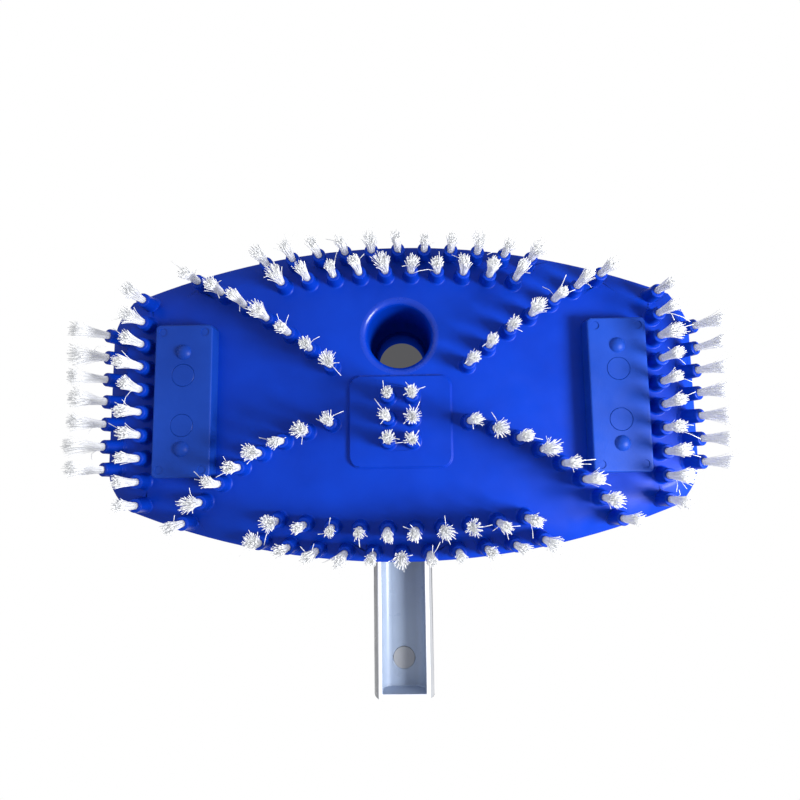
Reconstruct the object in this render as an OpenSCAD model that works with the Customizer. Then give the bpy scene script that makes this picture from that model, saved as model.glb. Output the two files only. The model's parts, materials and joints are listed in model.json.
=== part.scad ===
// Weighted pool vacuum brush: an oval head with moulded bristle bosses, a
// suction port with a swivelling hose connector, two riveted weights, side
// brushes and a tilting pole handle with a spring lock button.
//
// Frame: +X across the head, +Y towards the suction port side, +Z up, with the
// bristles pointing down and the handle leaving towards -Y. The origin is on
// the surface under the bristle tips, at the middle of the whole footprint.
// Inside the modules, z = 0 is the flat underside of the plate and y = 0 is the
// line through the middle of the weights; placed() moves that to the origin.

/* [Head plate] */
// Length of the plate from end to end
plate_w = 348; // [330:1:366]
// Width of the plate across its two long curved sides
plate_d = 189; // [180:1:198]
// Radius of the two long curved sides
side_r = 432; // [400:1:470]
// Radius of the four corners
corner_r = 30; // [24:1:34]
// Thickness of the moulding
wall = 3; // [2.5:0.1:4]
// Width of the sloping band round the underside
band_w = 12; // [10:0.5:14]
// Height that the band climbs from the flat underside to the edge
band_rise = 6; // [4:0.5:8]
// Height of the upright edge above the band
edge_h = 3.5; // [3:0.1:5]
// Height of the stiffening ribs on the top side
rib_h = 5; // [3:0.5:6]
// Thickness of the stiffening ribs
rib_t = 2.4; // [1.6:0.1:3]

/* [Bristles] */
// Height of a bristle boss below the underside
boss_h = 11; // [9:0.5:13]
// Radius of a boss at its mouth
boss_r = 4; // [3.8:0.1:4.6]
// Radius of the drilled hole that holds a tuft
tuft_hole_r = 2.05; // [1.8:0.05:2.3]
// Depth of the drilled hole
tuft_hole_depth = 8; // [6:0.5:9]
// Length of bristle that stands out of a boss
bristle_h = 21; // [16:0.5:26]
// Radius of a tuft at its tip
tuft_tip_r = 3.1; // [2.6:0.1:3.6]
// Angle of the side brushes below the horizontal
side_angle = 63; // [55:1:70]

/* [Suction port] */
// Distance of the port in front of the weights' centre line
port_y = 38; // [36:0.5:42]
// Radius of the port bore
port_r = 19; // [17:0.5:20]
// Outer radius of the collar above the port
collar_r = 23; // [22:0.5:25]
// Height of the collar above the underside
collar_h = 40; // [36:0.5:44]
// Outer radius of the hose spigot
spigot_r = 19.05; // [18:0.05:20]
// Inner radius of the hose spigot
spigot_bore_r = 17; // [15:0.5:17]
// Height of the shoulder that a hose cuff meets
shoulder_h = 73; // [66:0.5:80]
// Height of the top of the spigot
spigot_top = 102; // [95:0.5:110]

/* [Weights] */
// Distance of each weight from the middle of the head
weight_x = 124.85; // [122:0.05:127]
// Width of a weight cover along X
weight_w = 34; // [30:0.5:36]
// Length of a weight cover along Y
weight_l = 89; // [84:0.5:92]
// Height of a weight cover
weight_h = 10.1; // [9:0.1:12]
// Wall of a weight cover
cover_wall = 2.2; // [1.8:0.1:3]
// Distance of each rivet from the middle of a weight
rivet_y = 28; // [26:0.5:32]
// Distance of each plug from the middle of a weight
plug_y = 14.5; // [12:0.5:16]
// Radius of a plug
plug_r = 6.4; // [6:0.1:7]

/* [Handle] */
// Height of the handle's axis above the underside
handle_z = 28; // [27:0.5:31]
// Distance of the pivot behind the weights' centre line
pivot_y = -13; // [-15:0.5:-11]
// Outer radius of the handle
tube_r = 18; // [17.5:0.1:18.5]
// Distance of the handle's flat underside below its axis
flat_drop = 10; // [9:0.5:11]
// Distance of the handle's end behind the weights' centre line
handle_end = 175; // [165:1:190]
// Width of the troughs along the underside and the top of the handle
trough_w = 26; // [22:0.5:26]
// Thickness of the web between the two troughs
web_t = 3; // [2:0.5:4]
// Thickness of the wall that closes the troughs at the handle's end
end_wall = 3; // [2:0.5:6]
// Radius of the pivot pin
pin_r = 4; // [3.5:0.1:5]

/* [Pole lock] */
// Distance of the lock button from the handle's end
lock_from_end = 19.5; // [16:0.5:24]
// Radius of the button
button_r = 5; // [4:0.1:5.4]
// Travel of the button, a little more than its height over the handle
lock_travel = 4; // [3:0.1:4.2]

/* [Hidden] */

$fn = 64;
eps = 0.01;
blue = [0.03, 0.12, 0.72];
cover_blue = [0.10, 0.25, 0.72];
nylon_white = [0.95, 0.95, 0.95];
handle_grey = [0.72, 0.75, 0.80];
steel = [0.70, 0.71, 0.73];

brush_h = boss_h + bristle_h;
end_x = plate_w / 2;
front_y = plate_d / 2;
foot_mid_y = (front_y - handle_end) / 2;
edge_z = band_rise;
rim_z = edge_z + edge_h;

// The corner circles touch the long sides and the ends.
corner_x = end_x - corner_r;
corner_y = sqrt(pow(side_r - corner_r, 2) - corner_x * corner_x) - (side_r - front_y);
// Half-angle of a long side's arc, up to where the corner takes over
side_half = asin(corner_x / (side_r - corner_r));

// Bristle layout: rows of bosses along the long sides follow the outline
front_outer_in = 7.4;
front_inner_in = 20.3;
rear_inner_in = 19.8;
rear_outer_in = 6.4;
end_row_x = 149.6;
end_row_pitch = 13.2;
side_row_pitch = 13;
side_mouth_x = end_x - 3.5;
side_mouth_z = -8;
centre_x = 7;
centre_pitch = 13;
centre_rows = 3;
staple_h = 2;

// Each diagonal row runs between two points and bows towards +Y in the middle
front_diag = [[39.8, 19.1], [117.5, 70.0]];
front_diag_bow = 3.3;
front_diag_count = 7;
rear_diag = [[39.8, -14.3], [122.8, -69.6]];
rear_diag_bow = 8.8;
rear_diag_count = 8;

pad_w = 59;
pad_d = 53;
pad_y = pivot_y - 0.2;
pad_h = 2;
pad_r = 6;

// Middles of the ribs that run along X, and of those along Y on each side
rib_rows_y = [-56, 0, 62];
rib_columns_x = [50, 88];

ear_in = 19.2;
ear_t = 7;
ear_out = ear_in + ear_t;
ear_r = 12;
tongue_half = 18;
ear_foot_rear = 24;
ear_foot_front = 22;
stop_y = 1.5;
stop_t = 3.4;
rest_y = -53.5;
rest_w = 26;
rest_t = 4;
rest_gap = 0.3;
washer_t = 1;
clip_t = 1;
pin_head_r = 7;
pin_head_t = 3;
tube_start = 34;
trough_start = 62;
trough_round = 6;
web_low = 3.5;
lock_y = -(handle_end - lock_from_end);

// Heights of the lock's parts above the underside of the plate
chamber_r = 6.5;
lock_wall = 3.4;
cap_t = 2;
flange_t = 1.4;
web_z = handle_z + web_low;
shoulder_z = handle_z + tube_r - lock_wall;
flange_z = shoulder_z - 0.1 - flange_t;
button_top = handle_z + tube_r + lock_travel - 0.5;
spring_z = web_z + cap_t;
spring_h = flange_z - spring_z;

ring_z = 29;
ring_h = 2;
seal_z = 36;
seal_r = 1;
skirt_z = 24;
skirt_r = 27;
skirt_gap = 0.1;
grip_count = 24;

// ---------------------------------------------------------------- outlines

function arc(cx, cy, r, from, to, steps) =
    [for (i = [0 : steps]) let (a = from + (to - from) * i / steps)
        [cx + r * cos(a), cy + r * sin(a)]];

// One quarter of the plate's outline, set in by inset, from the end to the top
function outline_quarter(inset) = concat(
    arc(corner_x, corner_y, corner_r - inset, 0, 90 - side_half, 10),
    arc(0, front_y - side_r, side_r - inset, 90 - side_half - 1.2, 90, 16));

function flip(points, sx, sy) = [for (p = points) [sx * p[0], sy * p[1]]];

function backwards(points) = [for (i = [len(points) - 1 : -1 : 0]) points[i]];

function outline_points(inset) = let (q = outline_quarter(inset))
    concat(q, backwards(flip(q, -1, 1)), flip(q, -1, -1), backwards(flip(q, 1, -1)));

// Y of a row that runs alongside the long edge, inset from it
function side_y(x, inset) =
    sqrt(pow(side_r - inset, 2) - x * x) - (side_r - front_y);

// How far a point lies inside the plate's outline
function edge_gap(p) = let (x = abs(p[0]), y = abs(p[1]))
    x > corner_x && y > corner_y
        ? corner_r - norm([x - corner_x, y - corner_y])
        : min(end_x - x, side_r - norm([x, y + side_r - front_y]));

// Height of the plate's underside at a point: the pad, the flat or the band
function underside_z(p) =
    abs(p[0]) < pad_w / 2 && abs(p[1] - pad_y) < pad_d / 2
        ? -pad_h
        : band_rise * max(0, 1 - edge_gap(p) / band_w);

module slab(inset, z, h) {
    translate([0, 0, z])
        linear_extrude(h)
            polygon(outline_points(inset));
}

module rounded_rect(w, d, r) {
    square([w - 2 * r, d], center = true);
    square([w, d - 2 * r], center = true);
    for (sx = [-1, 1], sy = [-1, 1])
        translate([sx * (w / 2 - r), sy * (d / 2 - r)])
            circle(r);
}

module rounded_box(w, d, r, z, h) {
    translate([0, 0, z])
        linear_extrude(h)
            rounded_rect(w, d, r);
}

// ---------------------------------------------------------- bristle layout

function even_row(count, pitch, inset, side) =
    [for (i = [0 : count - 1]) let (x = (i - (count - 1) / 2) * pitch)
        [x, side * side_y(x, inset)]];

// Points along a line that bows towards +Y in the middle
function bowed_row(ends, bow, count) = let (
        run = ends[1] - ends[0],
        out = [-run[1], run[0]] / norm(run))
    [for (i = [0 : count - 1]) let (t = i / (count - 1))
        ends[0] + run * t + out * (4 * bow * t * (1 - t))];

front_outer = even_row(11, 15.5, front_outer_in, 1);
front_inner = even_row(10, 15.2, front_inner_in, 1);
rear_inner = even_row(10, 15.6, rear_inner_in, -1);
rear_outer = even_row(11, 15.9, rear_outer_in, -1);
front_right = bowed_row(front_diag, front_diag_bow, front_diag_count);
rear_right = bowed_row(rear_diag, rear_diag_bow, rear_diag_count);
end_right = [for (i = [0 : 9]) [end_row_x, (i - 4.5) * end_row_pitch]];
side_rows = [for (i = [-3 : 3]) i * side_row_pitch];
centre = [for (i = [0 : centre_rows - 1], sx = [-1, 1])
    [sx * centre_x, pivot_y + 1 + (i - 1) * centre_pitch]];

upright_tufts = concat(front_outer, front_inner, rear_inner, rear_outer, centre,
    end_right, flip(end_right, -1, 1), front_right, flip(front_right, -1, 1),
    rear_right, flip(rear_right, -1, 1));

// The place and direction of a side brush: +Z of the children points inwards
module at_side(side, y) {
    translate([side * side_mouth_x, y, side_mouth_z])
        rotate([0, -side * (90 - side_angle), 0])
            children();
}

module at_mouth(p) {
    translate([p[0], p[1], -boss_h])
        children();
}

// A boss before its hole is drilled, mouth at z = 0, meeting the plate at height h
module boss(h) {
    taper = 0.4;
    foot = 0.9;
    root = h + wall;
    foot_r = boss_r + taper + foot;
    rotate_extrude()
        polygon([[0, 0], [boss_r - 0.4, 0], [boss_r, 0.4], [boss_r + taper, h - foot],
            [foot_r, h], [foot_r, root], [0, root]]);
}

// The blind hole in a boss
module tuft_hole() {
    translate([0, 0, -1])
        cylinder(h = tuft_hole_depth + 1, r = tuft_hole_r);
}

// A tuft of filaments: straight in the boss, then flaring to its tip
module tuft() {
    r = tuft_hole_r - 0.05;
    held = tuft_hole_depth - staple_h - 0.2;
    rotate_extrude()
        polygon([[0, -bristle_h], [tuft_tip_r, -bristle_h], [r, 0], [r, held], [0, held]]);
}

module staple() {
    staple_w = 2 * tuft_hole_r - 0.4;
    staple_t = 1;
    translate([-staple_w / 2, -staple_t / 2, tuft_hole_depth - staple_h - 0.1])
        cube([staple_w, staple_t, staple_h]);
}

module tufts(points) {
    color(nylon_white)
        for (p = points)
            at_mouth(p)
                tuft();
}

module side_tufts(side) {
    color(nylon_white)
        for (y = side_rows)
            at_side(side, y)
                tuft();
}

// -------------------------------------------------------------- head plate

module plate_outside() {
    hull() {
        slab(band_w, 0, eps);
        slab(0, edge_z, edge_h);
    }
}

module plate_inside() {
    hull() {
        slab(band_w + wall / 2, wall, eps);
        slab(wall, rim_z - 0.2, 20);
    }
}

module pad() {
    translate([0, pad_y, 0]) {
        rounded_box(pad_w, pad_d, pad_r, -pad_h, pad_h + 1);
        rounded_box(pad_w + 1.6, pad_d + 1.6, pad_r + 0.8, -0.7, 1);
    }
}

// Crossing ribs on the top side, kept inside the plate's outer shape
module ribs() {
    intersection() {
        plate_outside();
        for (y = rib_rows_y)
            translate([-end_x, y - rib_t / 2, wall - 1])
                cube([plate_w, rib_t, rib_h + 1]);
    }
    intersection() {
        plate_outside();
        for (side = [-1, 1], x = rib_columns_x)
            translate([side * x - rib_t / 2, -front_y, wall - 1])
                cube([rib_t, plate_d, rib_h + 1]);
    }
}

module collar_wall() {
    translate([0, port_y, 0])
        rotate_extrude($fn = 96)
            polygon([[port_r - 2, 1], [collar_r + 5, 1], [collar_r + 5, wall],
                [collar_r + 1.2, wall + 1.2], [collar_r, wall + 5],
                [collar_r, ring_z - 0.1], [collar_r - 1.4, ring_z - 0.1],
                [collar_r - 1.4, ring_z + ring_h + 0.1], [collar_r, ring_z + ring_h + 0.1],
                [collar_r, seal_z - 1.1], [collar_r - 2.1, seal_z - 1.1],
                [collar_r - 2.1, seal_z + 1.1], [collar_r, seal_z + 1.1],
                [collar_r, collar_h - 0.8], [collar_r - 0.8, collar_h],
                [port_r - 2, collar_h]]);
}

// The rounded mouth of the port and its bore, as the shape that is cut away
module port_cut() {
    round_r = 4.5;
    translate([0, port_y, 0]) {
        translate([0, 0, -5])
            cylinder(h = collar_h + 10, r = port_r, $fn = 96);
        difference() {
            translate([0, 0, -1])
                cylinder(h = round_r + 1, r = port_r + round_r, $fn = 96);
            rotate_extrude($fn = 96)
                translate([port_r + round_r, round_r])
                    circle(round_r);
        }
    }
}

module ear(side) {
    translate([side * (ear_in + ear_t / 2), pivot_y, 0])
        rotate([90, 0, 90])
            linear_extrude(ear_t, center = true) {
                translate([0, handle_z])
                    circle(ear_r);
                polygon([[-ear_foot_rear, wall - 1], [ear_foot_front, wall - 1],
                    [ear_r * 0.94, handle_z + 4], [-ear_r * 0.94, handle_z + 4]]);
            }
}

// The wall between the ears, which stops the handle when it stands upright
module stop_wall() {
    translate([-ear_in - 1, stop_y, wall - 1])
        cube([2 * ear_in + 2, stop_t, handle_z + ear_r - wall]);
}

// The block that the handle rests on when it lies flat
module rest_block() {
    translate([-rest_w / 2, rest_y - rest_t / 2, wall - 1])
        cube([rest_w, rest_t, handle_z - flat_drop - rest_gap - wall + 1]);
}

module base_plate() {
    color(blue)
        difference() {
            union() {
                difference() {
                    union() {
                        plate_outside();
                        pad();
                        for (p = upright_tufts)
                            at_mouth(p)
                                boss(boss_h + underside_z(p));
                        for (side = [-1, 1], y = side_rows)
                            at_side(side, y)
                                boss(boss_h);
                    }
                    plate_inside();
                }
                ribs();
                collar_wall();
                ear(-1);
                ear(1);
                stop_wall();
                rest_block();
            }
            port_cut();
            for (p = upright_tufts)
                at_mouth(p)
                    tuft_hole();
            for (side = [-1, 1], y = side_rows)
                at_side(side, y)
                    tuft_hole();
            along_pivot(0)
                cylinder(h = 4 * ear_out, r = pin_r + 0.05, center = true);
            for (sx = [-1, 1], sy = [-1, 1])
                translate([sx * weight_x, sy * rivet_y, -1])
                    cylinder(h = wall + 2, r = 2.55);
        }
}

module tuft_staples() {
    color(steel) {
        for (p = upright_tufts)
            at_mouth(p)
                staple();
        for (side = [-1, 1], y = side_rows)
            at_side(side, y)
                staple();
    }
}

// ----------------------------------------------------------------- weights

// Moves the children to one weight, with z = 0 on the underside of the plate
module at_weight(side) {
    translate([side * weight_x, 0, 0])
        children();
}

module weight_cover(side) {
    color(cover_blue)
        at_weight(side)
            difference() {
                rounded_box(weight_w, weight_l, 3, -weight_h, weight_h);
                rounded_box(weight_w - 2 * cover_wall, weight_l - 2 * cover_wall, 1.5,
                    -weight_h + cover_wall, weight_h);
                for (sy = [-1, 1]) {
                    translate([0, sy * rivet_y, -weight_h - 1])
                        cylinder(h = cover_wall + 2, r = 2.6);
                    translate([0, sy * plug_y, -weight_h - 1])
                        cylinder(h = cover_wall + 2, r = plug_r + 0.12);
                    for (sx = [-1, 1])
                        translate([sx * (weight_w / 2 - 5), sy * (weight_l / 2 - 5), -weight_h - 1])
                            cylinder(h = 1.25, r = 2.5);
                }
            }
}

module weight_bar(side) {
    gap = 0.3;
    color(steel)
        at_weight(side)
            difference() {
                rounded_box(weight_w - 2 * cover_wall - 2 * gap, weight_l - 2 * cover_wall - 2 * gap,
                    1.2, -weight_h + cover_wall + 0.1, weight_h - cover_wall - gap);
                for (sy = [-1, 1])
                    translate([0, sy * rivet_y, -weight_h])
                        cylinder(h = weight_h + 1, r = 2.8);
            }
}

// A rivet with a domed head below and a formed head on top of the plate
module rivet() {
    dome_r = 4.5;
    dome_h = 2.6;
    ball_r = (dome_r * dome_r + dome_h * dome_h) / (2 * dome_h);
    head_t = 1.8;
    translate([0, 0, -weight_h])
        intersection() {
            translate([0, 0, ball_r - dome_h])
                sphere(ball_r);
            translate([0, 0, -dome_h])
                cylinder(h = dome_h, r = dome_r + 1);
        }
    translate([0, 0, -weight_h])
        cylinder(h = weight_h + wall, r = 2.5);
    translate([0, 0, wall])
        cylinder(h = head_t, r1 = 4.2, r2 = 3.2);
}

module weight_rivets(side) {
    color(cover_blue)
        at_weight(side)
            for (sy = [-1, 1])
                translate([0, sy * rivet_y, 0])
                    rivet();
}

module weight_plugs(side) {
    color(cover_blue)
        at_weight(side)
            for (sy = [-1, 1])
                translate([0, sy * plug_y, -weight_h])
                    cylinder(h = cover_wall, r = plug_r);
}

// ------------------------------------------------------------------- pivot

module along_pivot(x) {
    translate([x, pivot_y, handle_z])
        rotate([0, 90, 0])
            children();
}

module pivot_pin() {
    gap = 0.1;
    groove_x = -ear_out - gap - clip_t - 0.1;
    color(steel)
        difference() {
            union() {
                along_pivot(groove_x - 2)
                    cylinder(h = ear_out + gap - groove_x + 2, r = pin_r);
                along_pivot(ear_out + gap)
                    cylinder(h = pin_head_t, r1 = pin_head_r, r2 = pin_head_r - 1);
            }
            along_pivot(groove_x)
                difference() {
                    cylinder(h = clip_t + 0.2, r = pin_r + 1);
                    cylinder(h = clip_t + 0.2, r = pin_r - 0.8);
                }
        }
}

module pivot_clip() {
    color(steel)
        along_pivot(-ear_out - 0.1 - clip_t)
            difference() {
                cylinder(h = clip_t, r = pin_head_r);
                translate([0, 0, -1])
                    cylinder(h = clip_t + 2, r = pin_r - 0.7);
                translate([0, -pin_r + 0.9, -1])
                    cube([pin_head_r + 1, 2 * pin_r - 1.8, clip_t + 2]);
            }
}

module pivot_washers() {
    color(nylon_white)
        for (side = [-1, 1])
            along_pivot(side * (tongue_half + 0.1 + washer_t / 2))
                difference() {
                    cylinder(h = washer_t, r = 10, center = true);
                    cylinder(h = washer_t + 1, r = pin_r + 0.15, center = true);
                }
}

// ------------------------------------------------------------------ handle

// Moves the children onto the handle's axis, pointing from the pivot to the pole
module along_handle() {
    translate([0, pivot_y, handle_z])
        rotate([90, 0, 0])
            children();
}

handle_len = handle_end + pivot_y;

// Side view of the handle: round at the pivot, then growing to its full section
module handle_side() {
    rotate([0, -90, 0]) {
        cylinder(h = 2 * tongue_half, r = ear_r, center = true);
        linear_extrude(2 * tongue_half, center = true)
            polygon([[0, -ear_r], [0, ear_r], [tube_start, tube_r + eps],
                [handle_len, tube_r + eps], [handle_len, -flat_drop],
                [tube_start, -flat_drop]]);
    }
}

// Cross-section of a trough that opens downwards, with its floor at y = 0
module trough_section() {
    depth = 2 * tube_r;
    translate([-trough_w / 2, -depth])
        square([trough_w, depth - trough_round]);
    translate([-trough_w / 2 + trough_round, -depth])
        square([trough_w - 2 * trough_round, depth]);
    for (side = [-1, 1])
        translate([side * (trough_w / 2 - trough_round), -trough_round])
            circle(trough_round);
}

// Draws a section out along the handle, with its floor at a height over the axis
module handle_trough(height) {
    translate([0, -trough_start, handle_z + height])
        rotate([90, 0, 0])
            linear_extrude(handle_end - end_wall - trough_start)
                children();
}

module handle() {
    color(handle_grey)
        difference() {
            along_handle()
                intersection() {
                    translate([0, 0, -ear_r - 1])
                        cylinder(h = handle_len + ear_r + 1, r = tube_r, $fn = 96);
                    handle_side();
                }
            handle_trough(web_low)
                trough_section();
            difference() {
                handle_trough(web_low + web_t)
                    mirror([0, 1])
                        trough_section();
                at_lock(handle_z)
                    cylinder(h = 2 * tube_r, r = chamber_r + 2);
            }
            along_pivot(0)
                cylinder(h = 4 * tongue_half, r = pin_r + 0.08, center = true);
            at_lock(web_z - 1)
                cylinder(h = shoulder_z - web_z + 1, r = chamber_r);
            at_lock(shoulder_z - 1)
                cylinder(h = tube_r, r = button_r + 0.08);
        }
}

// --------------------------------------------------------------- pole lock

module at_lock(z) {
    translate([0, lock_y, z])
        children();
}

// The button that snaps into a hole in the pole, with the flange that keeps it in
module lock_button() {
    color(blue) {
        at_lock(flange_z)
            cylinder(h = flange_t, r = chamber_r - 0.2);
        at_lock(flange_z)
            cylinder(h = button_top - 1 - flange_z, r = button_r);
        at_lock(button_top - 1)
            cylinder(h = 1, r1 = button_r, r2 = button_r - 1);
    }
}

// The disc that closes the spring's chamber, flush with the floor of the trough
module lock_cap() {
    color(steel)
        at_lock(web_z)
            cylinder(h = cap_t, r = chamber_r - 0.05);
}

function coil_point(r, pitch, a) = [r * cos(a), r * sin(a), pitch * a / 360];

// A round wire wound into a coil, with rings of sides points
module coil(r, wire_r, pitch, turns, per_turn, sides) {
    rings = turns * per_turn;
    points = [for (i = [0 : rings], j = [0 : sides - 1]) let (
            a = 360 * i / per_turn,
            b = 360 * j / sides,
            out = r + wire_r * cos(b),
            p = coil_point(out, pitch, a))
        [p[0], p[1], p[2] + wire_r * sin(b)]];
    first = [for (j = [0 : sides - 1]) j];
    last = [for (j = [sides - 1 : -1 : 0]) rings * sides + j];
    walls = [for (i = [0 : rings - 1], j = [0 : sides - 1]) let (
            k = (j + 1) % sides)
        [i * sides + j, (i + 1) * sides + j, (i + 1) * sides + k, i * sides + k]];
    polyhedron(points, concat([first, last], walls), convexity = 8);
}

module lock_spring() {
    wire_r = 0.4;
    turns = 3;
    gap = 0.05;
    rise = spring_h - 2 * wire_r - 2 * gap;
    color(steel)
        at_lock(spring_z + wire_r + gap)
            coil(chamber_r - 1.5, wire_r, rise / turns, turns, 24, 8);
}

// ---------------------------------------------------------- hose connector

module hose_connector() {
    inner = collar_r + skirt_gap;
    lip = ring_z - 0.1;
    seat = collar_h + 0.2;
    color(blue)
        translate([0, port_y, 0]) {
            rotate_extrude($fn = 96)
                polygon([[inner, skirt_z], [skirt_r - 1, skirt_z], [skirt_r, skirt_z + 1],
                    [skirt_r, seat + 2], [skirt_r - 4, seat + 8],
                    [skirt_r - 4, shoulder_h - 1], [skirt_r - 5, shoulder_h],
                    [spigot_r, shoulder_h], [spigot_r, spigot_top - 1],
                    [spigot_r - 1, spigot_top], [spigot_bore_r, spigot_top],
                    [spigot_bore_r, shoulder_h], [port_r, shoulder_h],
                    [port_r, seat], [inner, seat],
                    [inner, lip + ring_h + 0.2], [inner + 1.5, lip + ring_h + 0.2],
                    [inner + 1.5, lip], [inner, lip]]);
            for (i = [0 : grip_count - 1])
                rotate([0, 0, i * 360 / grip_count])
                    translate([skirt_r - 0.5, -1, skirt_z + 3])
                        cube([1.6, 2, seat - skirt_z - 4]);
        }
}

// A split ring that keeps the connector on the collar
module connector_ring() {
    color(steel)
        translate([0, port_y, ring_z])
            rotate_extrude(angle = 325, $fn = 96)
                translate([collar_r - 1.2, 0])
                    square([2.6, ring_h]);
}

module connector_seal() {
    color([0.08, 0.08, 0.08])
        translate([0, port_y, seal_z])
            rotate_extrude($fn = 96)
                translate([collar_r - 0.95, 0])
                    circle(seal_r);
}

// ------------------------------------------------------------------- model

// Puts the bristle tips on z = 0 and the middle of the footprint on the origin
module placed() {
    translate([0, -foot_mid_y, brush_h])
        children();
}

placed() base_plate();
placed() tufts(front_outer);  // bristles_front_outer
placed() tufts(front_inner);  // bristles_front_inner
placed() tufts(rear_inner);  // bristles_rear_inner
placed() tufts(rear_outer);  // bristles_rear_outer
placed() tufts(flip(front_right, -1, 1));  // bristles_front_left
placed() tufts(front_right);  // bristles_front_right
placed() tufts(flip(rear_right, -1, 1));  // bristles_rear_left
placed() tufts(rear_right);  // bristles_rear_right
placed() tufts(flip(end_right, -1, 1));  // bristles_end_left
placed() tufts(end_right);  // bristles_end_right
placed() side_tufts(-1);  // side_brush_left
placed() side_tufts(1);  // side_brush_right
placed() tufts(centre);  // bristles_centre
placed() tuft_staples();
placed() weight_cover(-1);  // weight_cover_left
placed() weight_cover(1);  // weight_cover_right
placed() weight_bar(-1);  // weight_bar_left
placed() weight_bar(1);  // weight_bar_right
placed() weight_rivets(-1);  // weight_rivets_left
placed() weight_rivets(1);  // weight_rivets_right
placed() weight_plugs(-1);  // weight_plugs_left
placed() weight_plugs(1);  // weight_plugs_right
placed() pivot_pin();
placed() pivot_clip();
placed() pivot_washers();
placed() handle();
placed() lock_button();
placed() lock_spring();
placed() lock_cap();
placed() hose_connector();
placed() connector_ring();
placed() connector_seal();
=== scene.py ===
"""Looks for the pool vacuum brush: its moulded head, bristle filaments, weights, handle,
materials, light and camera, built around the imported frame. Lengths are in metres."""
import json
import math

import bmesh
import bpy
import numpy as np
from mathutils import Matrix, Vector
from mathutils.geometry import delaunay_2d_cdt

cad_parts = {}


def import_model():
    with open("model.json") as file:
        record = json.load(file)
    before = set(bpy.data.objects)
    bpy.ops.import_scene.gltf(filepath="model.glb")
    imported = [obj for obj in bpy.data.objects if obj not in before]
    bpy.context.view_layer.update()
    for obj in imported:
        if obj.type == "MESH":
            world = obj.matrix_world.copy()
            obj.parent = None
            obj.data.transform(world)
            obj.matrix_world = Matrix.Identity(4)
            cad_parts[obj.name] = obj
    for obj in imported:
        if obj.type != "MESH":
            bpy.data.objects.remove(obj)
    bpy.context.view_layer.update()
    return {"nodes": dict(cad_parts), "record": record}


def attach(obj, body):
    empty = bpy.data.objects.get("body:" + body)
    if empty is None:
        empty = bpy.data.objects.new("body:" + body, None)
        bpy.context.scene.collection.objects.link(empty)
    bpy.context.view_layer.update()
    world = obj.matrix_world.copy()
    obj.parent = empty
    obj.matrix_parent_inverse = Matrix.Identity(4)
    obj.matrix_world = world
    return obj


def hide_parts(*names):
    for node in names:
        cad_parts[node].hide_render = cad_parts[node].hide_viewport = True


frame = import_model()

MM = 0.001
rng = np.random.default_rng(31)


# ------------------------------------------------------------------ materials

def new_material(name):
    """A material, its node tree and its Principled shader."""
    material = bpy.data.materials.new(name)
    material.use_nodes = True
    return material, material.node_tree, material.node_tree.nodes["Principled BSDF"]


def object_coords(tree, stretch=(1, 1, 1)):
    """Object coordinates in metres, stretched along the axes."""
    source = tree.nodes.new("ShaderNodeTexCoord")
    mapping = tree.nodes.new("ShaderNodeMapping")
    mapping.inputs["Scale"].default_value = stretch
    tree.links.new(source.outputs["Object"], mapping.inputs["Vector"])
    return mapping.outputs["Vector"]


def noise(tree, size, detail=3, stretch=(1, 1, 1)):
    """Noise whose lumps are about size metres across."""
    node = tree.nodes.new("ShaderNodeTexNoise")
    node.inputs["Scale"].default_value = 1 / size
    node.inputs["Detail"].default_value = detail
    tree.links.new(object_coords(tree, stretch), node.inputs["Vector"])
    return node.outputs["Fac"]


def ramp(tree, value, stops):
    """A colour ramp; stops are (position, linear colour)."""
    node = tree.nodes.new("ShaderNodeValToRGB")
    elements = node.color_ramp.elements
    while len(elements) < len(stops):
        elements.new(0.5)
    for element, (position, colour) in zip(elements, stops):
        element.position = position
        element.color = (*colour, 1)
    tree.links.new(value, node.inputs["Fac"])
    return node.outputs["Color"]


def spread(tree, value, low, high, from_low=0.3, from_high=0.7):
    """Maps a noise value to the range low to high."""
    node = tree.nodes.new("ShaderNodeMapRange")
    node.inputs["From Min"].default_value = from_low
    node.inputs["From Max"].default_value = from_high
    node.inputs["To Min"].default_value = low
    node.inputs["To Max"].default_value = high
    tree.links.new(value, node.inputs["Value"])
    return node.outputs["Result"]


def bump(tree, shader, layers):
    """Chains bump nodes; layers are (height value, depth in metres)."""
    normal = None
    for height, depth in layers:
        node = tree.nodes.new("ShaderNodeBump")
        node.inputs["Distance"].default_value = depth
        node.inputs["Strength"].default_value = 1
        tree.links.new(height, node.inputs["Height"])
        if normal is not None:
            tree.links.new(normal, node.inputs["Normal"])
        normal = node.outputs["Normal"]
    tree.links.new(normal, shader.inputs["Normal"])


def moulded_plastic(name, dark, light, rough, grain=0.0006, grain_depth=0.00002, specular=0.35):
    """Injection-moulded plastic: slow tone changes, soft sink marks and a fine eroded grain."""
    material, tree, shader = new_material(name)
    tone = noise(tree, 0.045, 5)
    tree.links.new(ramp(tree, tone, [(0.32, dark), (0.68, light)]), shader.inputs["Base Color"])
    tree.links.new(spread(tree, noise(tree, 0.009, 6), *rough), shader.inputs["Roughness"])
    shader.inputs["Specular IOR Level"].default_value = specular
    bump(tree, shader, [(noise(tree, 0.03, 1), 0.00025), (noise(tree, grain, 2), grain_depth)])
    return material


def axis_values(tree, vector):
    """X, Y and Z of a vector."""
    node = tree.nodes.new("ShaderNodeSeparateXYZ")
    tree.links.new(vector, node.inputs["Vector"])
    return node.outputs["X"], node.outputs["Y"], node.outputs["Z"]


def absolute(tree, value):
    node = tree.nodes.new("ShaderNodeMath")
    node.operation = "ABSOLUTE"
    tree.links.new(value, node.inputs[0])
    return node.outputs["Value"]


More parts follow.
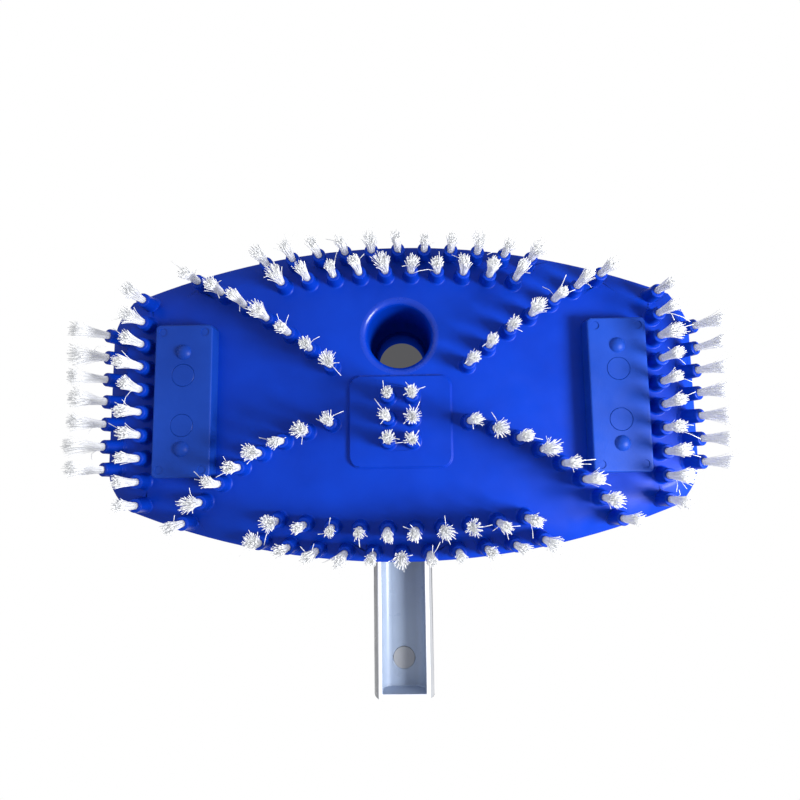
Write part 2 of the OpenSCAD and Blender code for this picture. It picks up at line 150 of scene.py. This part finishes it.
def blend(tree, factor, first, second):
    """Mixes two colours, each a socket or a linear colour."""
    node = tree.nodes.new("ShaderNodeMixRGB")
    tree.links.new(factor, node.inputs["Fac"])
    for name, colour in (("Color1", first), ("Color2", second)):
        if isinstance(colour, tuple):
            node.inputs[name].default_value = (*colour, 1)
        else:
            tree.links.new(colour, node.inputs[name])
    return node.outputs["Color"]


def handle_plastic():
    """Silver-grey plastic, with a painted highlight on the rims under the handle and a painted
    bluish reflection inside its troughs.
    """
    material, tree, shader = new_material("silver_grey_plastic_painted_light")
    x, _, z = axis_values(tree, object_coords(tree))
    # inside: the troughs, which take a bluer grey as a painted reflection
    inside = spread(tree, absolute(tree, x), 1, 0, 13.0 * MM, 13.5 * MM)
    # rim: the faces up to about a millimetre above the flat underside, painted near-white as a
    # highlight
    rim = spread(tree, z, 1, 0, RIM_Z + 0.4 * MM, RIM_Z + 1.0 * MM)
    tone = noise(tree, 0.03, 5)
    outer = ramp(tree, tone, [(0.3, (0.27, 0.28, 0.30)), (0.7, (0.32, 0.33, 0.35))])
    trough_painted_reflection = ramp(tree, tone, [(0.3, (0.27, 0.33, 0.45)), (0.7, (0.32, 0.39, 0.51))])
    paint = blend(tree, rim, blend(tree, inside, outer, trough_painted_reflection), (0.93, 0.95, 0.98))
    tree.links.new(paint, shader.inputs["Base Color"])
    tree.links.new(spread(tree, noise(tree, 0.008, 6), 0.26, 0.38), shader.inputs["Roughness"])
    bump(tree, shader, [(noise(tree, 0.03, 1), 0.0002), (noise(tree, 0.0005, 2), 0.00001)])
    return material


def nylon_filament():
    """White nylon, each filament with its own tone, and a faint bluish glow as painted light."""
    material, tree, shader = new_material("white_nylon_filament")
    tone = tree.nodes.new("ShaderNodeNewGeometry").outputs["Random Per Island"]
    stops = [(0.0, (0.84, 0.85, 0.88)), (0.45, (0.90, 0.91, 0.92)), (1.0, (0.95, 0.95, 0.94))]
    tree.links.new(ramp(tree, tone, stops), shader.inputs["Base Color"])
    tree.links.new(spread(tree, noise(tree, 0.002, 2), 0.3, 0.5), shader.inputs["Roughness"])
    shader.inputs["Specular IOR Level"].default_value = 0.4
    # Painted light: a faint bluish-white emission brightens every filament
    shader.inputs["Emission Color"].default_value = (0.93, 0.96, 1, 1)
    shader.inputs["Emission Strength"].default_value = 0.07
    bump(tree, shader, [(noise(tree, 0.0004, 2, (1, 1, 0.2)), 0.00002)])
    return material


def metal(name, tint, rough, stretch=(1, 1, 1), size=0.0004, depth=0.000006):
    """Bare metal with fine tool marks."""
    material, tree, shader = new_material(name)
    shader.inputs["Metallic"].default_value = 1
    marks = noise(tree, size, 3, stretch)
    darker = tuple(0.82 * c for c in tint)
    tree.links.new(ramp(tree, marks, [(0.3, darker), (0.7, tint)]), shader.inputs["Base Color"])
    tree.links.new(spread(tree, noise(tree, 0.006, 4), *rough), shader.inputs["Roughness"])
    bump(tree, shader, [(marks, depth)])
    return material


# Height of the handle's flat underside; the painted highlight on the handle's rims reaches about 1
# mm above it
RIM_Z = 50 * MM

MATERIALS = {
    "head_plastic": moulded_plastic(
        "blue_head_plastic", (0.0006, 0.029, 0.36), (0.0012, 0.040, 0.46), (0.32, 0.44),
        specular=0.14),
    "cover_plastic": moulded_plastic(
        "blue_cover_plastic", (0.003, 0.038, 0.31), (0.006, 0.052, 0.39), (0.36, 0.5),
        0.0012, 0.00006, 0.2),
    "button_plastic": moulded_plastic(
        "blue_button_plastic", (0.0012, 0.026, 0.36), (0.0022, 0.036, 0.46), (0.25, 0.35)),
    "handle_plastic": handle_plastic(),
    "cap_plastic": moulded_plastic(
        "neutral_grey_plastic", (0.31, 0.32, 0.35), (0.35, 0.36, 0.38), (0.4, 0.5)),
    "washer_nylon": moulded_plastic(
        "natural_nylon", (0.70, 0.69, 0.63), (0.80, 0.79, 0.74), (0.35, 0.5)),
    "seal_rubber": moulded_plastic(
        "black_rubber", (0.008, 0.008, 0.009), (0.02, 0.02, 0.021), (0.5, 0.7)),
    "stainless_steel": metal("stainless_steel", (0.62, 0.63, 0.65), (0.22, 0.35), (1, 6, 6)),
    "staple_steel": metal("staple_wire", (0.5, 0.5, 0.5), (0.3, 0.45)),
    "weight_iron": metal(
        "cast_iron", (0.10, 0.10, 0.105), (0.55, 0.75), (1, 1, 1), 0.0015, 0.0001),
    "bristle_nylon": nylon_filament(),
}

# The port's bore is matt and painted a darker blue as shade, and the rounding of its mouth is
# glossy
BORE_PLASTIC = moulded_plastic("blue_bore_plastic_painted_shade", (0.0006, 0.026, 0.32), (0.0012, 0.036, 0.42),
                               (0.6, 0.75), specular=0)
MOUTH_PLASTIC = moulded_plastic("blue_mouth_plastic", (0.0006, 0.029, 0.36), (0.0012, 0.040, 0.46),
                                (0.25, 0.32), specular=0.4)


def set_material(obj, slot_name):
    """Gives an object the material of a slot, and no other."""
    obj.data.materials.clear()
    obj.data.materials.append(MATERIALS[slot_name])


# ---------------------------------------------------------------- mesh helpers

def weld(mesh_object):
    """The vertices and edges of an object's mesh, with doubles merged."""
    bm = bmesh.new()
    bm.from_mesh(mesh_object.data)
    bmesh.ops.remove_doubles(bm, verts=bm.verts, dist=0.01 * MM)
    return bm


def islands(node):
    """The vertex positions of each separate solid of a CAD node."""
    bm = weld(frame["nodes"][node])
    seen, groups = set(), []
    for start in bm.verts:
        if start in seen:
            continue
        seen.add(start)
        stack, group = [start], []
        while stack:
            vert = stack.pop()
            group.append(vert.co.copy())
            for edge in vert.link_edges:
                other = edge.other_vert(vert)
                if other not in seen:
                    seen.add(other)
                    stack.append(other)
        groups.append(np.array(group))
    bm.free()
    return groups


def make_object(name, verts, faces, smooth=True):
    """A new object in the scene from vertices and faces."""
    mesh = bpy.data.meshes.new(name)
    mesh.from_pydata([tuple(v) for v in verts], [], [tuple(f) for f in faces])
    mesh.validate()
    for polygon in mesh.polygons:
        polygon.use_smooth = smooth
    obj = bpy.data.objects.new(name, mesh)
    bpy.context.scene.collection.objects.link(obj)
    return obj


def place(obj, body, slot_name, *nodes):
    """Gives a piece the material of its slot and its body, and hides the CAD nodes that it stands
    for.
    """
    set_material(obj, slot_name)
    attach(obj, body)
    if nodes:
        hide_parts(*nodes)
    return obj


# ------------------------------------------------------------------- bristles

TUFT_NODES = sorted(n for n in frame["nodes"] if n.startswith(("bristles_", "side_brush_")))
# How far a tuft's solid goes into its boss, and how far its filaments go in
CAD_HELD_LENGTH = 5.8 * MM
HELD_LENGTH = 3 * MM
TUFT_RADIUS = 1.85 * MM
FILAMENT_RADIUS = 0.2 * MM
FILAMENTS = 112
RING_SIDES = 4
GOLDEN_ANGLE = 2.39996
# A filament's bend is summed over fine steps, and its mesh keeps the points at PATH_STEPS
FINE_STEPS = 20
PATH_STEPS = np.array([0.0, 0.3, 0.55, 0.8, 1.0])


def tuft_axis(points):
    """Mouth end, direction to the tip and length of the bristles of a tuft's solid."""
    centre = points.mean(0)
    axis = np.linalg.svd(points - centre)[2][0]
    along = (points - centre) @ axis
    radius = np.linalg.norm(points - centre - np.outer(along, axis), axis=1)
    if radius[along > along.max() - MM].max() < radius[along < along.min() + MM].max():
        axis, along = -axis, -along
    return centre + axis * along.min(), axis, along.max() - along.min()


def filament_tuft(root, axis, length, flare, strays):
    """Vertices and faces of one tuft: filaments that leave the boss together and fan out."""
    u = np.cross(axis, [0.0, 1.0, 0.31])
    u /= np.linalg.norm(u)
    v = np.cross(axis, u)
    count = FILAMENTS
    radial = TUFT_RADIUS * np.sqrt((np.arange(count) + 0.5) / count)
    turn = np.arange(count) * GOLDEN_ANGLE + rng.uniform(0, 6.28)
    base = np.stack([radial * np.cos(turn), radial * np.sin(turn)], 1)
    base += rng.normal(0, 0.06 * MM, base.shape)
    lean = rng.normal(0, 0.055, 2)
    slope = base / TUFT_RADIUS * flare + lean
    slope += rng.normal(0, 0.03, base.shape)
    lengths = length * (1 + rng.normal(-0.03, 0.028, count).clip(-0.12, 0.02))
    curl = rng.uniform(0.7, 1.6, count)
    loose = rng.choice(count, strays, replace=False)
    slope[loose] += rng.normal(0, 0.42, (strays, 2))
    curl[loose] = rng.uniform(1.2, 3.0, strays)
    angle = np.linalg.norm(slope, axis=1)
    bend = slope / angle[:, None]
    side = np.stack([-bend[:, 1], bend[:, 0]], 1)

    fine = np.linspace(0, 1, FINE_STEPS + 1)
    phi = 1.6 * angle[:, None] * fine ** curl[:, None]
    step = lengths[:, None] / FINE_STEPS
    forward = np.concatenate([np.zeros((count, 1)), np.cumsum(np.cos(phi[:, :-1]) * step, 1)], 1)
    outward = np.concatenate([np.zeros((count, 1)), np.cumsum(np.sin(phi[:, :-1]) * step, 1)], 1)
    picks = (PATH_STEPS * FINE_STEPS).round().astype(int)
    forward, outward, phi = forward[:, picks], outward[:, picks], phi[:, picks]

    def world(a, b, c):
        """A local (u, v, axis) vector in the row frame."""
        return a[..., None] * u + b[..., None] * v + c[..., None] * axis

    centre = root + world(
        base[:, :1] + bend[:, :1] * outward, base[:, 1:] + bend[:, 1:] * outward, forward)
    side_dir = world(side[:, :1], side[:, 1:], np.zeros((count, 1)))
    normal_dir = world(bend[:, :1] * np.cos(phi), bend[:, 1:] * np.cos(phi), -np.sin(phi))
    thickness = FILAMENT_RADIUS * rng.uniform(0.85, 1.1, (count, 1)) * (1 - 0.15 * PATH_STEPS)
    rings = []
    for k in range(RING_SIDES):
        a = 2 * math.pi * k / RING_SIDES
        outwards = math.cos(a) * side_dir + math.sin(a) * normal_dir
        rings.append(centre + thickness[..., None] * outwards)
    verts = np.stack(rings, 2).reshape(-1, 3)

    steps = len(PATH_STEPS)
    faces = []
    for f in range(count):
        start = f * steps * RING_SIDES
        for s in range(steps - 1):
            low = start + s * RING_SIDES
            for k in range(RING_SIDES):
                n = (k + 1) % RING_SIDES
                faces.append((low + k, low + n, low + RING_SIDES + n, low + RING_SIDES + k))
        end = start + (steps - 1) * RING_SIDES
        faces.append(tuple(end + k for k in range(RING_SIDES)))
        faces.append(tuple(start + k for k in reversed(range(RING_SIDES))))
    return verts, faces


def build_bristles():
    """Filaments in place of the solids of every tuft node."""
    for node in TUFT_NODES:
        sideways = node.startswith("side_brush_")
        verts, faces, total = [], [], 0
        for points in sorted(islands(node), key=lambda p: tuple(p.mean(0).round(4))):
            root, axis, length = tuft_axis(points)
            root = root + axis * (CAD_HELD_LENGTH - HELD_LENGTH)
            length -= CAD_HELD_LENGTH - HELD_LENGTH
            flare = rng.uniform(0.14, 0.26) if sideways else rng.choice([0.07, 0.10, 0.17])
            tuft_verts, tuft_faces = filament_tuft(root, axis, length, flare, rng.integers(1, 5))
            verts.append(tuft_verts)
            faces += [tuple(i + total for i in face) for face in tuft_faces]
            total += len(tuft_verts)
        obj = make_object("filaments_" + node, np.concatenate(verts), faces)
        place(obj, "head", "bristle_nylon", node)


build_bristles()


# ------------------------------------------------------ moulded parts, softened

SLOTS = {part["node"]: part["material_slot"] for part in frame["record"]["subparts"]}
PORT_Y = 78.25 * MM
# The bore's faces lie inside BORE_R; the rounding of its mouth lies below MOUTH_TOP
BORE_R, MOUTH_R, MOUTH_TOP = 19.6 * MM, 24.2 * MM, 36 * MM


def soften(node, body, width, angle=35):
    """A copy of a CAD node with its sharp edges rounded, which stands for it."""
    bm = weld(frame["nodes"][node])
    sharp = [e for e in bm.edges
             if len(e.link_faces) == 2 and e.calc_face_angle() > math.radians(angle)]
    bmesh.ops.bevel(bm, geom=sharp, offset=width, offset_type="OFFSET", segments=3,
                    profile=0.5, affect="EDGES", clamp_overlap=False, loop_slide=True)
    mesh = bpy.data.meshes.new("soft_" + node)
    bm.to_mesh(mesh)
    bm.free()
    mesh.polygons.foreach_set("use_smooth", [True] * len(mesh.polygons))
    mesh.set_sharp_from_angle(angle=math.radians(50))
    obj = bpy.data.objects.new("soft_" + node, mesh)
    bpy.context.scene.collection.objects.link(obj)
    obj.modifiers.new("weighted", "WEIGHTED_NORMAL").keep_sharp = True
    return place(obj, body, SLOTS[node], node)


def finish_port(obj):
    """Gives the faces in and around the port their own finish: a matt bore painted darker as
    shade, and a glossy rounded mouth.
    """
    obj.data.materials.append(BORE_PLASTIC)
    obj.data.materials.append(MOUTH_PLASTIC)
    for polygon in obj.data.polygons:
        x, y, z = polygon.center
        radius = math.hypot(x, y - PORT_Y)
        if radius < BORE_R:
            polygon.material_index = 1
        elif radius < MOUTH_R and z < MOUTH_TOP:
            polygon.material_index = 2


# Weight covers, in the row frame; the marks and plugs mirror about the cover's middle
COVER_X, COVER_Y, COVER_W, COVER_L = 124.85 * MM, 40.25 * MM, 34 * MM, 89 * MM
COVER_TOP, COVER_FACE = 32 * MM, 21.9 * MM
COVER_CORNER, COVER_RIM, COVER_DRAFT = 3 * MM, 1.1 * MM, 0.25 * MM
RIM_STEPS = 5
MARK_IN, MARK_R, MARK_DEPTH = 4.8 * MM, 2.3 * MM, 0.45 * MM
MARK_MOUTH_R = MARK_R + 0.15 * MM
PLUG_Y, PLUG_R, PLUG_BACK, PLUG_CHAMFER = 14.5 * MM, 6.4 * MM, 1.4 * MM, 0.2 * MM
PLUG_HOLE_R, PLUG_MOUTH_R = PLUG_R + 0.12 * MM, PLUG_R + 0.3 * MM
PLUG_HOLE_DEPTH, PLUG_MOUTH_DEPTH = 1.5 * MM, 0.25 * MM
CIRCLE_SIDES = 40


def rounded_outline(half_x, half_y, radius, steps=8):
    """Points round a rectangle with rounded corners, anticlockwise."""
    points = []
    for quarter, (sx, sy) in enumerate(((1, 1), (-1, 1), (-1, -1), (1, -1))):
        for step in range(steps + 1):
            a = math.pi / 2 * (quarter + step / steps)
            points.append((sx * (half_x - radius) + radius * math.cos(a),
                           sy * (half_y - radius) + radius * math.sin(a)))
    return points


def circle(x, y, radius):
    """Points round a circle, anticlockwise."""
    turns = [2 * math.pi * k / CIRCLE_SIDES for k in range(CIRCLE_SIDES)]
    return [(x + radius * math.cos(a), y + radius * math.sin(a)) for a in turns]


def loft(verts, faces, sections):
    """Joins outlines of equal length, each (points, z); gives the first's and last's indices."""
    start = len(verts)
    for points, z in sections:
        verts += [(x, y, z) for x, y in points]
    count = len(sections[0][0])
    for ring in range(len(sections) - 1):
        low, high = start + ring * count, start + (ring + 1) * count
        for k in range(count):
            n = (k + 1) % count
            faces.append((low + n, low + k, high + k, high + n))
    return list(range(start, start + count)), list(range(len(verts) - count, len(verts)))


def fill_between(verts, faces, loops, holes):
    """Fills the flat face inside the first loop and outside the holes, each (x, y, radius)."""
    points, edges, ids = [], [], []
    for loop in loops:
        first = len(points)
        points += [Vector(verts[i][:2]) / MM for i in loop]
        ids += loop
        edges += [(first + k, first + (k + 1) % len(loop)) for k in range(len(loop))]
    _, _, triangles, source, _, _ = delaunay_2d_cdt(points, edges, [], 1, 1e-5)
    for triangle in triangles:
        corners = [ids[source[i][0]] for i in triangle]
        x, y = (sum(verts[i][axis] for i in corners) / 3 for axis in (0, 1))
        if all(math.hypot(x - hx, y - hy) > radius for hx, hy, radius in holes):
            faces.append(tuple(reversed(corners)))


def weight_cover(side, sign):
    """A weight's cover with a rounded rim, four sink marks and two round plugs in its face."""
    centre_x = sign * COVER_X
    verts, faces = [], []

    def outline(inset):
        points = rounded_outline(COVER_W / 2 - inset, COVER_L / 2 - inset, COVER_CORNER - inset)
        return [(centre_x + x, COVER_Y + y) for x, y in points]

    sections = [(outline(0), COVER_TOP), (outline(COVER_DRAFT), COVER_FACE + COVER_RIM)]
    for step in range(1, RIM_STEPS + 1):
        a = math.pi / 2 * step / RIM_STEPS
        sections.append((outline(COVER_DRAFT + COVER_RIM * (1 - math.cos(a))),
                         COVER_FACE + COVER_RIM * (1 - math.sin(a))))
    top_loop, face_loop = loft(verts, faces, sections)
    faces.append(tuple(top_loop))

    loops, holes = [face_loop], []

    def recess(centre, profile):
        """A closed hollow in the face; the profile is (radius, depth) from its mouth down."""
        rings = [(circle(*centre, radius), COVER_FACE + depth) for radius, depth in profile]
        mouth, floor_loop = loft(verts, faces, rings)
        loops.append(mouth)
        holes.append((*centre, profile[0][0]))
        faces.append(tuple(reversed(floor_loop)))

    for sy in (-1, 1):
        plug_at = (centre_x, COVER_Y + sy * PLUG_Y)
        recess(plug_at, [(PLUG_MOUTH_R, 0), (PLUG_HOLE_R, PLUG_MOUTH_DEPTH),
                         (PLUG_HOLE_R, PLUG_HOLE_DEPTH)])
        back, front = loft(verts, faces, [
            (circle(*plug_at, PLUG_R), COVER_FACE + PLUG_BACK),
            (circle(*plug_at, PLUG_R), COVER_FACE + PLUG_CHAMFER),
            (circle(*plug_at, PLUG_R - PLUG_CHAMFER), COVER_FACE)])
        faces.append(tuple(reversed(front)))
        faces.append(tuple(back))
        for sx in (-1, 1):
            mark_at = (centre_x + sx * (COVER_W / 2 - MARK_IN),
                       COVER_Y + sy * (COVER_L / 2 - MARK_IN))
            recess(mark_at, [(MARK_MOUTH_R, 0), (MARK_R, MARK_DEPTH)])

    fill_between(verts, faces, loops, holes)
    obj = make_object("weight_cover_shell_" + side, verts, faces)
    obj.data.set_sharp_from_angle(angle=math.radians(35))
    obj.modifiers.new("weighted", "WEIGHTED_NORMAL").keep_sharp = True
    place(obj, "head", "cover_plastic", "weight_cover_" + side, "weight_plugs_" + side)


finish_port(soften("base_plate", "head", 0.35 * MM))
weight_cover("left", -1)
weight_cover("right", 1)
soften("handle", "handle", 0.7 * MM)
soften("lock_button", "lock", 0.4 * MM)
finish_port(soften("hose_connector", "connector", 0.4 * MM))

# ----------------------------------------------------- finishes of the CAD nodes

for node, slot_name in SLOTS.items():
    set_material(frame["nodes"][node], slot_name)


# ------------------------------------------------------------ stage and camera

def aim(obj, place_at, target, up=(0, 0, 1)):
    """Puts a camera or light at a point, looking at a target."""
    forward = (Vector(target) - Vector(place_at)).normalized()
    right = forward.cross(Vector(up)).normalized()
    top = right.cross(forward)
    turn = Matrix((right, top, -forward)).transposed()
    obj.matrix_world = Matrix.Translation(place_at) @ turn.to_4x4()


def area_light(name, place_at, target, size, power, colour=(1, 1, 1)):
    """A round soft light that the camera doesn't see."""
    data = bpy.data.lights.new(name, "AREA")
    data.shape = "DISK"
    data.size = size
    data.energy = power
    data.color = colour
    obj = bpy.data.objects.new(name, data)
    bpy.context.scene.collection.objects.link(obj)
    aim(obj, place_at, target, (0, 1, 0.01))
    obj.visible_camera = False
    return obj


# The floor lies below the camera, which looks up at the underside of the part
FLOOR_Z, FLOOR_HALF = -0.9, 8
floor = make_object(
    "floor", [(sx * FLOOR_HALF, sy * FLOOR_HALF, FLOOR_Z)
              for sx, sy in ((-1, -1), (1, -1), (1, 1), (-1, 1))],
    [(0, 1, 2, 3)], smooth=False)
floor_material, _, floor_shader = new_material("pale_floor")
floor_shader.inputs["Base Color"].default_value = (0.68, 0.68, 0.69, 1)
floor_shader.inputs["Roughness"].default_value = 0.9
floor_shader.inputs["Specular IOR Level"].default_value = 0.1
floor.data.materials.append(floor_material)

# Middle of the dark patch overhead, painted shade seen through the port; in the photo's view it
# shows only through the port
PORT_SIGHT = (0.0, 0.105, 0.9945)
PATCH_INNER, PATCH_OUTER = math.radians(12.5), math.radians(15)


def studio_world():
    """White above, grey from the horizon down, and a dark patch behind the port as painted shade.
    """
    world = bpy.data.worlds.new("studio")
    world.use_nodes = True
    tree = world.node_tree
    direction = tree.nodes.new("ShaderNodeTexCoord").outputs["Generated"]
    height = axis_values(tree, direction)[2]
    sky = ramp(tree, height, [(0.35, (0.42, 0.42, 0.43)), (0.6, (1, 1, 1))])
    dot = tree.nodes.new("ShaderNodeVectorMath")
    dot.operation = "DOT_PRODUCT"
    dot.inputs[1].default_value = PORT_SIGHT
    tree.links.new(direction, dot.inputs[0])
    patch = spread(tree, dot.outputs["Value"], 0, 1, math.cos(PATCH_OUTER), math.cos(PATCH_INNER))
    colour = blend(tree, patch, sky, (0.1, 0.1, 0.105))
    tree.links.new(colour, tree.nodes["Background"].inputs["Color"])
    return world


bpy.context.scene.world = studio_world()
bpy.context.scene.view_settings.view_transform = "Standard"

HEAD_MIDDLE = (0.0, 0.04, 0.03)
area_light("key", (-0.42, -0.10, -0.28), HEAD_MIDDLE, 0.2, 5.0)
area_light("fill", (0.5, 0.4, -0.5), HEAD_MIDDLE, 0.5, 0.25, (0.9, 0.95, 1.0))

CAMERA_AT, CAMERA_TARGET = (-0.0055, 0.0016, -0.3006), (0.0, 0.0396, 0.032)
CAMERA_UP = (-0.0131, 1, 0)
camera_data = bpy.data.cameras.new("camera")
camera_data.sensor_width = 36
camera_data.lens = 25.65
camera = bpy.data.objects.new("camera", camera_data)
bpy.context.scene.collection.objects.link(camera)
aim(camera, CAMERA_AT, CAMERA_TARGET, CAMERA_UP)
bpy.context.scene.camera = camera
